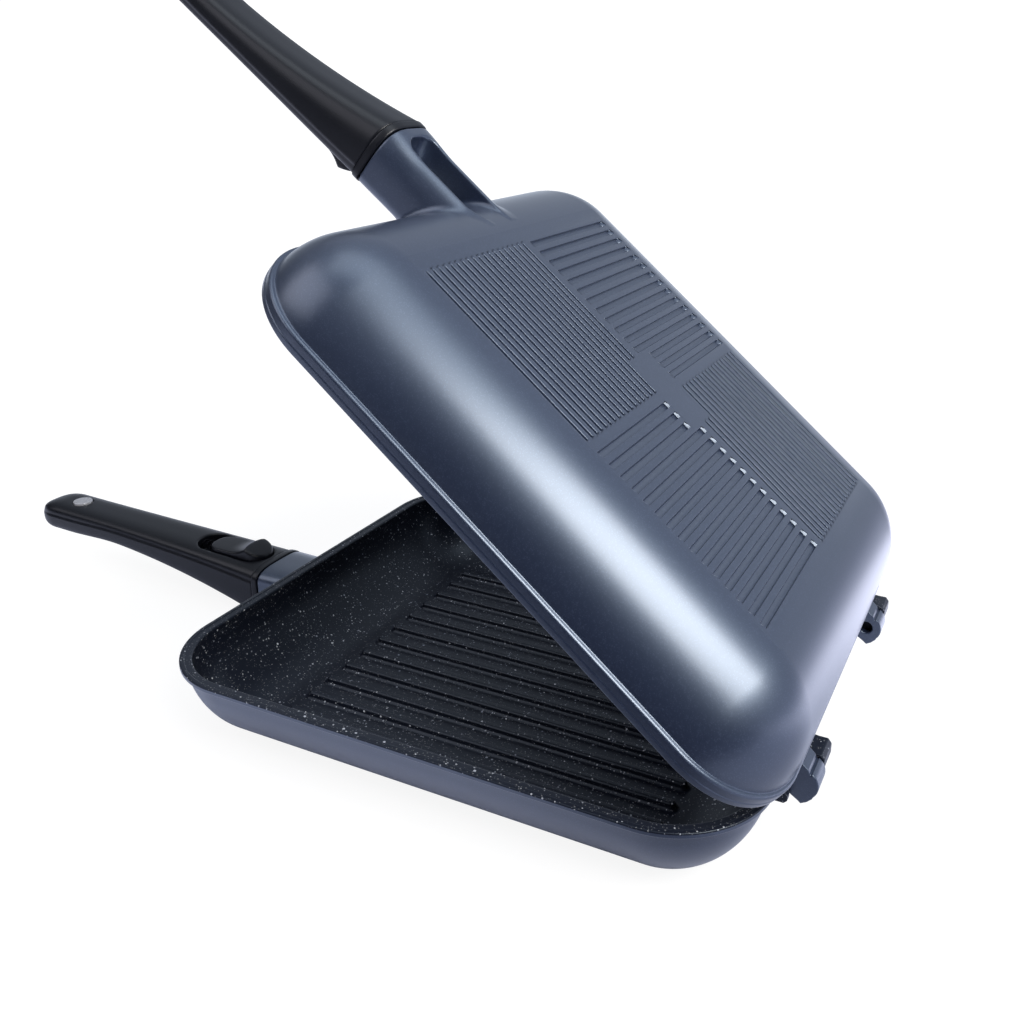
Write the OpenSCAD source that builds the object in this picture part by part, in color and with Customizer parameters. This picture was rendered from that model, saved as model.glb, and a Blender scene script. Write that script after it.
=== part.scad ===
// Double sided flip pan: two cast halves on a slide-off hinge, each with a
// detachable grip. X runs from the grips to the hinge, Z is up, and the origin
// is the centre of the lower half's flat underside. Millimetres.

/* [Pan halves] */
// Length of the rim, from the grip side to the hinge side
pan_l = 260; // [230:1:320]
// Width of the rim
pan_w = 230; // [200:1:290]
// Height of one half, from its flat outside to the parting plane
half_h = 37.5; // [37:0.5:48]
// Radius of the rim's corners
corner_r = 39; // [38:1:48]
// Radius of the shoulder between the wall and the flat outside
shoulder_r = 34.6; // [28:0.2:35.6]
// Thickness of the casting
wall = 3.2; // [2.6:0.1:4.5]
// How far the rim stands out of the wall
rim_ledge = 2.1; // [1:0.1:3]
// Height of the lower half's rim band
lower_rim_h = 2.4; // [1.6:0.1:4]
// Height of the lid's rim band
lid_rim_h = 6.8; // [5:0.1:9]
// Gap between the two rims when the pan is shut
rim_gap = 0.3; // [0.1:0.1:1]
// Angle of the lid, from shut
lid_open = 39.9; // [0:0.1:95]

/* [Grill ribs] */
// Number of ribs in the lower half's floor
rib_count = 12; // [4:1:14]
// Distance from one rib to the next
rib_pitch = 13.2; // [9:0.1:13.4]
// Length of a rib
rib_l = 178; // [120:1:182]
// Width of a rib
rib_w = 5.2; // [3:0.1:7]
// Height of a rib above the floor
rib_h = 2.9; // [1.5:0.1:4]

/* [Outside pattern] */
// Length of the patterned field
field_l = 172; // [120:1:182]
// Width of the patterned field
field_w = 153.6; // [110:1:155]
// Plain strip left between its four quarters
field_gap = 3; // [1:0.5:8]
// Depth of the grooves
groove_d = 0.7; // [0.3:0.1:1]
// Distance from one fine groove to the next
fine_pitch = 3.9; // [3:0.1:6]
// Width of a fine groove
fine_w = 1.7; // [0.8:0.1:2.5]
// Distance from one broad slot to the next
slot_pitch = 5.6; // [4.5:0.1:9]
// Width of a broad slot
slot_w = 3.2; // [1.5:0.1:4]
// Length of the plain panel in the middle
panel_l = 30; // [16:1:50]
// Width of the plain panel in the middle
panel_w = 15; // [8:1:30]

/* [Hinge] */
// Distance from the rim's edge to the hinge axis
axis_out = 5.94; // [5.9:0.02:7]
// Depth of the hinge axis under the parting plane
axis_drop = 3.1; // [2:0.1:4]
// Radius of a knuckle
knuckle_r = 5.5; // [4.6:0.1:5.5]
// Width of a lid knuckle
lid_knuckle_w = 11.2; // [8:0.1:14]
// Width of a pan knuckle
pan_knuckle_w = 12; // [8:0.1:14]
// Distance from the near side of the rim to the joint between the near pair of knuckles
near_joint_in = 61.8; // [59:0.1:75]
// Distance from the far side of the rim to the joint between the far pair of knuckles
far_joint_in = 46; // [46:0.1:65]
// Side play between two knuckles
knuckle_play = 0.4; // [0.2:0.1:1]
// Radius of a hinge pin
pin_r = 2.8; // [2:0.1:3]
// Running clearance of a pin in its bore
pin_run = 0.05; // [0.02:0.01:0.1]
// Clearance of a pressed pin in its seat
pin_seat = 0.02; // [0.01:0.01:0.04]
// Closed end left behind a pin
pin_end = 2; // [1.5:0.1:4]

/* [Socket] */
// Distance from the rim to the socket's end
socket_reach = 24.5; // [20:0.5:40]
// Width of the socket and the collar
socket_w = 34.8; // [28:0.2:40]
// Height of the socket and the collar
socket_h = 30.2; // [26:0.2:31]
// Depth of the socket's widest line under its inner face
socket_mid = 7.4; // [5:0.2:14]
// Depth of the socket's inner face under the parting plane
socket_drop = 6.7; // [6:0.1:8]
// Width of the open pocket in the socket's outer face
pocket_w = 22; // [16:0.5:24]
// Thickness of the socket's end wall
head_t = 8.5; // [6:0.5:12]
// Thickness left between the pocket and the socket's inner face
pocket_floor = 3; // [2:0.2:4]

/* [Tongue and catch] */
// Width of the steel tongue
tongue_w = 14; // [10:0.5:15]
// Thickness of the steel tongue
tongue_t = 3; // [2:0.1:4]
// Depth of the tongue's inner face under the parting plane
tongue_drop = 15.4; // [15.2:0.1:16.5]
// Length of the tongue ahead of the grip
tongue_out = 27; // [22:0.5:30]
// Length of the tongue inside the grip
tongue_in = 46; // [44:0.5:52]
// Clearance of the tongue in the socket's end wall
tongue_play = 0.3; // [0.1:0.05:0.6]
// Width of the catch leaf
leaf_w = 6; // [4:0.2:8]
// Thickness of the catch leaf
leaf_t = 0.8; // [0.5:0.1:1]
// Rise of the catch leaf above the tongue
leaf_rise = 1.8; // [1.6:0.1:1.9]
// Height of the catch's hook behind the end wall
hook_h = 1.2; // [1:0.1:1.3]

/* [Grip] */
// Length of the grip, without its collar
grip_l = 163; // [150:1:200]
// Width of the collar ring along the grip
collar_l = 3.6; // [2:0.1:6]
// Gap between the collar and the socket
collar_gap = 0.4; // [0.3:0.1:1]
// How far the collar stands round the socket's section
collar_proud = 0.4; // [0:0.1:1]
// Thickness of the grip at its waist
waist_t = 13.4; // [11:0.2:16]
// Thickness of the grip at its end
end_t = 15.6; // [12:0.2:18]
// Half the width of the grip at its end
end_w = 13.2; // [10:0.2:15]
// Depth of the grip's end face under the parting plane
end_drop = 0.4; // [0.3:0.1:2]
// Radius of the magnet
magnet_r = 5.6; // [4:0.1:7]
// Thickness of the magnet
magnet_t = 4; // [2:0.2:6]
// Depth of the magnet's face under the parting plane
magnet_drop = 0.2; // [0.15:0.05:0.6]
// Distance from the magnet to the grip's end
magnet_in = 25; // [22:0.5:44]

/* [Release button] */
// Length of the button's recess
recess_l = 45.5; // [44:0.5:50]
// Width of the button's recess
recess_w = 19; // [16:0.5:20]
// Web left between the recess and the collar
recess_web = 2.4; // [1.6:0.1:4]
// Length of the button
button_l = 36; // [32:0.5:36]
// Travel of the button
button_travel = 6; // [4:0.5:6]
// Gap beside and ahead of the button
button_play = 0.3; // [0.2:0.05:0.5]
// Depth of the button's face under the parting plane
button_drop = 4.6; // [4:0.1:5.4]
// Height of the thumb rest above the button's face
thumb_h = 4.1; // [2:0.1:4.2]
// Width of the rails at the button's sides
rail_w = 1.5; // [1:0.1:2]
// Thickness of those rails
rail_t = 1.6; // [1:0.1:2]
// Radius of the return spring
spring_r = 2.2; // [1.6:0.1:2.4]
// Radius of the spring's wire
spring_wire = 0.3; // [0.2:0.05:0.4]
// Turns of the spring
spring_turns = 8; // [5:1:10]
// Radius of the tongue's screws
screw_r = 2; // [1.5:0.1:2.2]

/* [Hidden] */
$fn = 64;
eps = 0.01;

paint = [0.33, 0.37, 0.47];
steel = [0.72, 0.73, 0.75];
black = [0.09, 0.10, 0.11];

// Pan halves, in a half's own frame: parting plane at z = 0, outside at z = -half_h
shoulder_z = shoulder_r - half_h;
shoulder_x = corner_r - rim_ledge - shoulder_r;

// Hinge axis, from the parting plane
hinge_x = pan_l / 2 + axis_out;
hinge_z = -axis_drop;
heel = 6.0 / 5.5 * knuckle_r;
nub_w = 3.6;
near_joint_y = near_joint_in - pan_w / 2;
far_joint_y = pan_w / 2 - far_joint_in;
lid_near_y = near_joint_y - knuckle_play / 2 - lid_knuckle_w;
lid_far_y = far_joint_y - knuckle_play / 2 - lid_knuckle_w;
pan_near_y = near_joint_y + knuckle_play / 2;
pan_far_y = far_joint_y + knuckle_play / 2;

// Socket, tongue and catch
socket_x = -(pan_l / 2 + socket_reach);
head_x = socket_x + head_t;
pocket_z = -(socket_drop + pocket_floor);
leaf_z = -tongue_drop + leaf_rise;
leaf_top = leaf_z + leaf_t;
bump_h = 0.8;
gate_top = leaf_top + tongue_play;

// Grip
collar_x = socket_x - collar_gap;
grip_x = collar_x - collar_l;
end_x = grip_x - grip_l;
cap_l = 15;
outer_n = 2.1;
inner_n = 3.2;
pocket_r = 5.5;
magnet_x = end_x + magnet_in;
recess_x = grip_x - recess_web - recess_l;
button_x = grip_x - recess_web - button_play - button_l;
rail_top = -tongue_drop + 5.4;
rail_z = rail_top - rail_t;
recess_z = rail_z - button_play;
screw_x = grip_x - tongue_in + 5;
screw_pitch = 10;
head_r = 1.75 * screw_r;
head_h = 1.9;
screw_l = 8;

function smooth(t) = let(c = min(1, max(0, t))) c * c * (3 - 2 * c);
// Share of the grip's length that lies between its collar and a place x
function along(x) = (grip_x - x) / grip_l;
function fade(x, share, power) = pow(max(0, 1 - along(x) / share), power);
function top_z(x) = -end_drop - (socket_drop - end_drop) * fade(x, 1.05, 1.2);
function thick(x) = waist_t + (socket_h - waist_t) * fade(x, 0.8, 2)
                  + (end_t - waist_t) * smooth((along(x) - 0.6) / 0.25);
function half_w(x) = end_w + (socket_w / 2 - end_w) * fade(x, 0.7, 1.5);
// Half width and half height of the end cap's sections, from 1 down to 0
function cap(x) = x > end_x + cap_l ? 1 : sqrt(max(0, 1 - pow((end_x + cap_l - x) / cap_l, 2)));
function power_of(c, n) = sign(c) * pow(abs(c), 2 / n);
// A point of a grip's section: half width w at the height mid, an inner face at z1 and an outer one at z0
function section_point(a, w, z1, mid, z0) = let(n = sin(a) > 0 ? inner_n : outer_n)
    [w * power_of(cos(a), n), mid + (sin(a) > 0 ? z1 - mid : mid - z0) * power_of(sin(a), n)];

// The places of a half and of the lid in the whole pan
module in_lower() { translate([0, 0, half_h]) children(); }
module in_lid() {
    translate([hinge_x, 0, half_h + hinge_z]) rotate([0, lid_open, 0])
        translate([-hinge_x, 0, -hinge_z]) children();
}
// The lid's grip and casting are the lower ones, turned over
module turned_over() { rotate([180, 0, 0]) children(); }

// Flat shapes
module rounded(l, w, r) {
    square([l - 2 * r, w], center = true);
    square([l, w - 2 * r], center = true);
    for (x = [-1, 1], y = [-1, 1]) translate([x * (l / 2 - r), y * (w / 2 - r)]) circle(r);
}
module stadium(l, w) {
    square([l - w, w], center = true);
    for (x = [-1, 1]) translate([x * (l - w) / 2, 0]) circle(w / 2);
}
// A plate that a shape in the XZ plane makes between y and y + w
module across(y, w) { translate([0, y + w, 0]) rotate([90, 0, 0]) linear_extrude(w) children(); }
// A bar that a shape in the YZ plane makes between x and x + l
module lengthwise(x, l) { translate([x, 0, 0]) rotate([90, 0, 90]) linear_extrude(l) children(); }

// A wall's section, drawn outwards from the corner's centre, taken all round the rim
module around() {
    for (a = [0, 180]) rotate([0, 0, a]) {
        translate([pan_l / 2 - corner_r, pan_w / 2 - corner_r, 0]) rotate_extrude(angle = 90) children();
        translate([corner_r - pan_l / 2, pan_w / 2 - corner_r, 0]) rotate([0, 0, 90])
            rotate_extrude(angle = 90) children();
        translate([0, pan_w / 2 - corner_r, 0]) lengthwise(corner_r - pan_l / 2, pan_l - 2 * corner_r) children();
        translate([pan_l / 2 - corner_r, 0, 0]) across(corner_r - pan_w / 2, pan_w - 2 * corner_r) children();
    }
}
module quarter(r) {
    intersection() {
        circle(r);
        translate([0, -r]) square(r);
    }
}
module outer_section(rim_top, rim_h) {
    translate([0, -rim_h]) square([corner_r, rim_h - rim_top]);
    translate([0, shoulder_z]) square([corner_r - rim_ledge, -rim_top - shoulder_z]);
    translate([0, -half_h]) square([shoulder_x, half_h - rim_top]);
    translate([shoulder_x, shoulder_z]) quarter(shoulder_r);
}
module inner_section() {
    translate([0, shoulder_z]) square([shoulder_x + shoulder_r - wall, 1 - shoulder_z]);
    translate([0, wall - half_h]) square([shoulder_x, 1 + half_h - wall]);
    translate([shoulder_x, shoulder_z]) quarter(shoulder_r - wall);
}
module middle(bottom, top) {
    translate([corner_r - pan_l / 2, corner_r - pan_w / 2, bottom])
        cube([pan_l - 2 * corner_r, pan_w - 2 * corner_r, top - bottom]);
}
module outside(rim_top, rim_h) {
    around() outer_section(rim_top, rim_h);
    middle(-half_h, -rim_top);
}
module hollow() {
    around() inner_section();
    middle(wall - half_h, 1);
}

// Fine grooves in two quarters of the field and broad slots in the other two
module quarter_field(l, w, bite_l, bite_w) {
    difference() {
        translate([field_gap / 2, field_gap / 2]) square([l, w]);
        square([2 * bite_l, 2 * bite_w], center = true);
    }
}
module fine_grooves() {
    l = field_l / 2 - field_gap / 2;
    w = field_w / 2 - field_gap / 2;
    intersection() {
        quarter_field(l, w, panel_l / 2, panel_w / 2);
        for (y = [w - fine_w : -fine_pitch : 0]) translate([field_gap / 2, field_gap / 2 + y]) square([l, fine_w]);
    }
}
module broad_slots() {
    l = field_l / 2 - field_gap / 2;
    w = field_w / 2 - field_gap / 2;
    for (x = [l - slot_w : -slot_pitch : 0]) {
        start = x < panel_l / 2 ? panel_w / 2 : field_gap / 2;
        translate([field_gap / 2 + x, start]) square([slot_w, field_w / 2 - slot_w / 2 - start]);
        translate([field_gap / 2 + x + slot_w / 2, field_w / 2 - slot_w / 2]) circle(slot_w / 2);
    }
}
module pattern() {
    translate([0, 0, -half_h - 1]) linear_extrude(1 + groove_d) {
        mirror([1, 0]) fine_grooves();
        mirror([0, 1]) fine_grooves();
        broad_slots();
        rotate(180) broad_slots();
    }
}

// Socket for the grip, cast on the wall
module socket_section(grow) {
    n = 48;
    polygon([for (k = [0 : n - 1]) section_point(360 * (k + 0.5) / n, socket_w / 2 + grow,
        grow - socket_drop, -socket_drop - socket_mid, -socket_drop - socket_h - grow)]);
}
module socket_solid() {
    root = pan_l / 2 - corner_r;
    difference() {
        lengthwise(socket_x, -root - socket_x) socket_section(0);
        translate([0, 0, -half_h - 1]) linear_extrude(half_h + 1 + pocket_z)
            translate([(head_x - root) / 2 + pocket_r, 0])
                rounded(-root - head_x + 2 * pocket_r, pocket_w, pocket_r);
        translate([socket_x - 1, -tongue_w / 2 - tongue_play, -tongue_drop - tongue_t - tongue_play])
            cube([head_t + 8, tongue_w + 2 * tongue_play, gate_top + tongue_drop + tongue_t + tongue_play]);
    }
}
module casting(rim_top, rim_h) {
    difference() {
        union() {
            outside(rim_top, rim_h);
            socket_solid();
        }
        hollow();
        pattern();
    }
}

// Hinge knuckles, as shapes in the XZ plane with the parting plane at z = 0
module at_axis() { translate([hinge_x, hinge_z]) children(); }
module pan_knuckle_shape() {
    at_axis() circle(knuckle_r);
    at_axis() square([heel, axis_drop + 2.3]);
    at_axis() polygon([[0, -knuckle_r], [-axis_out - 4, -knuckle_r - 1.5], [-axis_out - 4, axis_drop - 0.3],
                       [0.3 - axis_out, axis_drop - 0.3], [-3, axis_drop + 2.1], [0, axis_drop + 2.3]]);
}
module lid_knuckle_shape() {
    at_axis() circle(knuckle_r);
    at_axis() translate([0, -heel]) square(heel);
    at_axis() polygon([[-axis_out - 3, axis_drop + 0.6], [-4.4, axis_drop + 0.6], [-knuckle_r, 0], [0, 0],
                       [0, knuckle_r], [-2, knuckle_r + 0.9], [-axis_out - 3, knuckle_r + 1.2]]);
}
module bore(y, w, r) { translate([hinge_x, y, hinge_z]) rotate([-90, 0, 0]) cylinder(h = w, r = r); }

module lower_pan() {
    color(paint) in_lower() difference() {
        union() {
            casting(0, lower_rim_h);
            ribs();
            across(pan_near_y, pan_knuckle_w) pan_knuckle_shape();
            across(pan_far_y, pan_knuckle_w) pan_knuckle_shape();
            for (y = [lid_near_y - nub_w - 0.6, pan_far_y + pan_knuckle_w + 1]) guard_nub(y);
        }
        bore(pan_near_y - eps, pan_knuckle_w - pin_end, pin_r + pin_run);
        bore(pan_far_y - eps, pan_knuckle_w - pin_end, pin_r + pin_seat);
    }
}
module ribs() {
    first = -(rib_count - 1) / 2 * rib_pitch;
    sink = rib_w / 2 - rib_h;
    for (i = [0 : rib_count - 1]) translate([0, first + i * rib_pitch, wall - half_h - sink]) {
        rotate([0, 90, 0]) cylinder(h = rib_l - rib_w, r = rib_w / 2, center = true);
        for (x = [-1, 1]) translate([x * (rib_l - rib_w) / 2, 0, 0]) sphere(rib_w / 2);
    }
}
// Small nub beside a pair of knuckles, cast on the wall
module guard_nub(y) {
    across(y, nub_w) translate([pan_l / 2 - rim_ledge - 2.1, -lower_rim_h - 3.2])
        polygon([[0, 0], [5.8, 0], [7, -1.2], [7, -3.4], [5.8, -4.6], [0, -4.6]]);
}
module lid_pan() {
    color(paint) in_lid() difference() {
        union() {
            turned_over() casting(rim_gap, lid_rim_h);
            across(lid_near_y, lid_knuckle_w) lid_knuckle_shape();
            across(lid_far_y, lid_knuckle_w) lid_knuckle_shape();
        }
        bore(lid_near_y + pin_end, lid_knuckle_w, pin_r + pin_seat);
        bore(lid_far_y - 1, lid_knuckle_w + 2, pin_r + pin_run);
    }
}
module hinge_pin(y, w) {
    bore(y, w, pin_r);
}
pin_l = lid_knuckle_w + pan_knuckle_w - 2 * pin_end - 1.2;
module lid_hinge_pin() { color(steel) in_lid() hinge_pin(lid_near_y + pin_end, pin_l); }
module lower_hinge_pin() { color(steel) in_lower() hinge_pin(pan_far_y + pan_knuckle_w - pin_end - pin_l, pin_l); }

// Grip pieces, in the lower half's frame
grip_steps = 22;
cap_steps = 6;
ring_sides = 28;
grip_places = concat(
    [for (i = [0 : grip_steps]) grip_x - i * (grip_l - cap_l) / grip_steps],
    [for (i = [1 : cap_steps - 1]) end_x + cap_l * (1 - sin(90 * i / cap_steps))],
    [end_x + 0.15]);
function grip_ring(x) = let(
    c = cap(x), xs = max(x, end_x + cap_l), t = thick(xs), w = half_w(xs), top = top_z(xs),
    mid = top - t * (0.25 + 0.17 * smooth(along(xs) / 0.8)), squeeze = pow(c, 1.3))
    [for (k = [0 : ring_sides - 1]) let(a = 360 * (k + 0.5) / ring_sides,
        q = section_point(a, w * c, mid + (top - mid) * squeeze, mid, mid - (t + mid - top) * squeeze))
        [x, q[0], q[1]]];
module grip_body() {
    n = ring_sides;
    m = len(grip_places);
    points = [for (x = grip_places) each grip_ring(x)];
    faces = concat(
        [[for (k = [0 : n - 1]) n - 1 - k]],
        [[for (k = [0 : n - 1]) (m - 1) * n + k]],
        [for (i = [0 : m - 2], k = [0 : n - 1]) [i * n + k, i * n + (k + 1) % n, (i + 1) * n + (k + 1) % n]],
        [for (i = [0 : m - 2], k = [0 : n - 1]) [i * n + k, (i + 1) * n + (k + 1) % n, (i + 1) * n + k]]);
    polyhedron(points = points, faces = faces, convexity = 6);
}
module grip() {
    tunnel = tongue_w / 2 + 0.05;
    difference() {
        grip_body();
        // Recess for the button, with a groove at each side for its rails
        translate([recess_x + recess_l / 2, 0, recess_z]) linear_extrude(40) stadium(recess_l, recess_w);
        translate([recess_x + recess_w / 4, -recess_w / 2 - rail_w, recess_z])
            cube([recess_l - recess_w / 4, recess_w + 2 * rail_w, rail_t + 2 * button_play]);
        // Bed of the tongue
        translate([grip_x - tongue_in, -tunnel, -tongue_drop - tongue_t])
            cube([tongue_in + 1, 2 * tunnel, recess_z + tongue_drop + tongue_t + eps]);
        for (i = [0, 1]) translate([screw_x + i * screw_pitch, 0, leaf_base_z() - screw_l - 0.5])
            cylinder(h = screw_l, r = screw_r + 0.02);
        translate([magnet_x, 0, -magnet_drop - magnet_t]) cylinder(h = 20, r = magnet_r + 0.05);
    }
}
function leaf_base_z() = -tongue_drop + leaf_t;
module collar() {
    difference() {
        lengthwise(grip_x, collar_l) socket_section(collar_proud);
        translate([grip_x - 1, -tongue_w / 2 - 0.1, -tongue_drop - tongue_t])
            cube([collar_l + 2, tongue_w + 0.2, gate_top + tongue_drop + tongue_t]);
    }
}
module tongue() {
    difference() {
        translate([grip_x - tongue_in, 0, -tongue_drop - tongue_t]) linear_extrude(tongue_t) {
            translate([0, -tongue_w / 2]) square([tongue_in + collar_l + tongue_out - 3, tongue_w]);
            translate([tongue_in + collar_l + tongue_out - 3, 3 - tongue_w / 2]) square([3, tongue_w - 6]);
            for (y = [-1, 1]) translate([tongue_in + collar_l + tongue_out - 3, y * (tongue_w / 2 - 3)]) circle(3);
        }
        for (i = [0, 1]) translate([screw_x + i * screw_pitch, 0, -tongue_drop - tongue_t - 1])
            cylinder(h = tongue_t + 2, r = screw_r + 0.1);
    }
}
module tongue_screws() {
    for (i = [0, 1]) translate([screw_x + i * screw_pitch, 0, leaf_base_z()]) {
        translate([0, 0, -screw_l]) cylinder(h = screw_l + eps, r = screw_r);
        difference() {
            cylinder(h = head_h, r = head_r);
            for (a = [0, 90]) rotate([0, 0, a]) translate([-head_r * 0.6, -0.45, head_h - 1])
                cube([head_r * 1.2, 0.9, 2]);
        }
    }
}
module catch_leaf() {
    root_x = grip_x - tongue_in + 0.5;
    lift_x = screw_x + screw_pitch + head_r + 1;
    hook_x = head_x + 0.4;
    z0 = -tongue_drop;
    across_leaf = leaf_w;
    difference() {
        across(-leaf_w / 2, across_leaf) polygon([
            [root_x, z0], [lift_x, z0], [lift_x + 4, leaf_z], [lift_x + 6, leaf_z + bump_h], [lift_x + 8, leaf_z + bump_h],
            [lift_x + 10, leaf_z], [hook_x + 1.2, leaf_z], [hook_x + 1.2, leaf_top + hook_h + tongue_play],
            [hook_x, leaf_top + hook_h + tongue_play - 0.6], [hook_x, leaf_top], [lift_x + 10.3, leaf_top],
            [lift_x + 8.3, leaf_top + bump_h], [lift_x + 5.7, leaf_top + bump_h], [lift_x + 3.7, leaf_top],
            [lift_x - 0.3, z0 + leaf_t], [root_x, z0 + leaf_t]]);
        for (i = [0, 1]) translate([screw_x + i * screw_pitch, 0, z0 - 1]) cylinder(h = 4, r = screw_r + 0.1);
    }
}
module magnet() { translate([magnet_x, 0, -magnet_drop - magnet_t]) cylinder(h = magnet_t, r = magnet_r); }
module button() {
    w = recess_w - 2 * button_play;
    face = -button_drop;
    peak = button_x + button_l - 11;
    difference() {
        union() {
            translate([button_x + button_l / 2, 0, rail_z]) linear_extrude(face - rail_z) stadium(button_l, w);
            translate([button_x + w / 2, -recess_w / 2 - rail_w + button_play, rail_z])
                cube([button_l - w, recess_w + 2 * rail_w - 2 * button_play, rail_t]);
            // Thumb rest: hollow towards the grip's end, sloping away towards the pan
            intersection() {
                across(-w / 2, w) polygon(concat(
                    [for (a = [0 : 10 : 70]) [peak - 8 + 8 * sin(a), face + thumb_h * (1 - cos(a)) / (1 - cos(70))]],
                    [[peak + 1.6, face + thumb_h], [peak + 8, face], [peak + 8, face - 1], [peak - 8, face - 1]]));
                translate([button_x + button_l / 2, 0, rail_z]) linear_extrude(20) stadium(button_l - 1, w - 1);
            }
            // Rib that presses the catch leaf down as the button goes back
            translate([button_x + button_l - 11, -leaf_w / 2, leaf_top + button_play])
                cube([2, leaf_w, rail_z - leaf_top]);
        }
        translate([button_x - 1, 0, (face + rail_z) / 2]) rotate([0, 90, 0])
            cylinder(h = spring_room + 1, r = spring_r + spring_wire + 0.15);
    }
}
spring_room = 16;
// Coil spring between the recess's end and the bottom of the button's bore
function coil_point(t) = let(l = button_x + spring_room - recess_x - 2 * spring_wire - 0.5)
    [recess_x + spring_wire + 0.3 + l * t, spring_r * cos(360 * spring_turns * t),
     (rail_z - button_drop) / 2 + spring_r * sin(360 * spring_turns * t)];
module button_spring() {
    n = 6;
    steps = 12 * spring_turns;
    function ring(i) = let(t = i / steps, p = coil_point(t), a = 360 * spring_turns * t,
        out = [0, cos(a), sin(a)])
        [for (k = [0 : n - 1]) p + spring_wire * (cos(360 * k / n) * out + sin(360 * k / n) * [1, 0, 0])];
    polyhedron(
        points = [for (i = [0 : steps]) each ring(i)],
        faces = concat([[for (k = [0 : n - 1]) k]], [[for (k = [0 : n - 1]) steps * n + n - 1 - k]],
            [for (i = [0 : steps - 1], k = [0 : n - 1]) [i * n + k, (i + 1) * n + k, (i + 1) * n + (k + 1) % n]],
            [for (i = [0 : steps - 1], k = [0 : n - 1]) [i * n + k, (i + 1) * n + (k + 1) % n, i * n + (k + 1) % n]]),
        convexity = 8);
}

module lower_grip() { color(black) in_lower() grip(); }
module lower_collar() { color(black) in_lower() collar(); }
module lower_tongue() { color(steel) in_lower() tongue(); }
module lower_tongue_screws() { color(steel) in_lower() tongue_screws(); }
module lower_catch_leaf() { color(steel) in_lower() catch_leaf(); }
module lower_magnet() { color(steel) in_lower() magnet(); }
module lower_button() { color(black) in_lower() button(); }
module lower_button_spring() { color(steel) in_lower() button_spring(); }
module lid_grip() { color(black) in_lid() turned_over() grip(); }
module lid_collar() { color(black) in_lid() turned_over() collar(); }
module lid_tongue() { color(steel) in_lid() turned_over() tongue(); }
module lid_tongue_screws() { color(steel) in_lid() turned_over() tongue_screws(); }
module lid_catch_leaf() { color(steel) in_lid() turned_over() catch_leaf(); }
module lid_magnet() { color(steel) in_lid() turned_over() magnet(); }
module lid_button() { color(black) in_lid() turned_over() button(); }
module lid_button_spring() { color(steel) in_lid() turned_over() button_spring(); }

lower_pan();
lower_hinge_pin();
lid_pan();
lid_hinge_pin();
lower_grip();
lower_collar();
lower_tongue();
lower_tongue_screws();
lower_catch_leaf();
lower_magnet();
lower_button();
lower_button_spring();
lid_grip();
lid_collar();
lid_tongue();
lid_tongue_screws();
lid_catch_leaf();
lid_magnet();
lid_button();
lid_button_spring();
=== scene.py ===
"""Looks of the double sided flip pan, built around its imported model.

Lengths are in millimetres in a half's own frame: parting plane at z = 0, the casting below it,
x from the grips (-) to the hinge (+). A Place turns that frame into the pan's own, in metres.
"""

import math
import bpy
import numpy as np
from mathutils import Matrix, Vector


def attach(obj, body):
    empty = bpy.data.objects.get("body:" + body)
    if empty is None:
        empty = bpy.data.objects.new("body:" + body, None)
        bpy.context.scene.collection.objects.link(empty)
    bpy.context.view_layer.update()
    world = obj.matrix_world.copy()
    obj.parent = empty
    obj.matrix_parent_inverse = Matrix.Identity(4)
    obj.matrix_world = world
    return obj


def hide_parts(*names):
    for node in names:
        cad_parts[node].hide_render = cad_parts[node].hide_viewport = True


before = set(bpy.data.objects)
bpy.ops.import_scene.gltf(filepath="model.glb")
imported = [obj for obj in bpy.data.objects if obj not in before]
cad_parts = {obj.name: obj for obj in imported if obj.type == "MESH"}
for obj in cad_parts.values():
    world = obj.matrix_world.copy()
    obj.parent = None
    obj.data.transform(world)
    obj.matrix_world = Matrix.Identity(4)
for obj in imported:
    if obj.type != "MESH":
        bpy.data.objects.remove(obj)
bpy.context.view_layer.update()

MM = 0.001

# Sizes that the source gives as well
HALF_LENGTH = 130.0
HALF_WIDTH = 115.0
CORNER = 39.0
HALF_HEIGHT = 37.5
SHOULDER = 34.6
WALL = 3.2
LEDGE = 2.1
LOWER_RIM = 2.4
LID_RIM = 6.8
RIM_GAP = 0.3
LID_OPEN = math.radians(39.9)
HINGE_X = 135.94
HINGE_Z = -3.1
SOCKET_X = -154.5
COLLAR_X = -154.9
GRIP_X = -158.5
GRIP_LENGTH = 163.0
GRIP_END = GRIP_X - GRIP_LENGTH
MAGNET_X = GRIP_END + 25.0
RECESS_X = -206.4
RECESS_LENGTH = 45.5
RECESS_WIDTH = 19.0
BUTTON_X = -197.2
BUTTON_LENGTH = 36.0

CORE_X = HALF_LENGTH - CORNER
CORE_Y = HALF_WIDTH - CORNER
FLOOR_Z = WALL - HALF_HEIGHT

# The wall leans in from the rim and runs over a wide shoulder into the flat
LEAN = math.radians(13.0)
ROUND = 39.0
ROUND_Z = ROUND - HALF_HEIGHT
MEET_Z = ROUND_Z - ROUND * math.sin(LEAN)


def shoulder(lid):
    """Where the wall meets the shoulder, and where the shoulder's centre is, outside the core."""
    rim = LID_RIM if lid else LOWER_RIM
    meet = CORNER - LEDGE - (-rim - MEET_Z) * math.tan(LEAN)
    return meet, meet - ROUND * math.cos(LEAN)


# ---------------------------------------------------------------- places


def shift(x, y, z):
    return Matrix.Translation((x * MM, y * MM, z * MM))


IN_LOWER = shift(0, 0, HALF_HEIGHT)
IN_LID = (shift(HINGE_X, 0, HALF_HEIGHT + HINGE_Z) @ Matrix.Rotation(LID_OPEN, 4, "Y")
          @ shift(-HINGE_X, 0, -HINGE_Z))
TURNED = Matrix.Rotation(math.pi, 4, "X")


def put_in_scene(name, data):
    made = bpy.data.objects.new(name, data)
    bpy.context.scene.collection.objects.link(made)
    return made


# ---------------------------------------------------------------- materials


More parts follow.
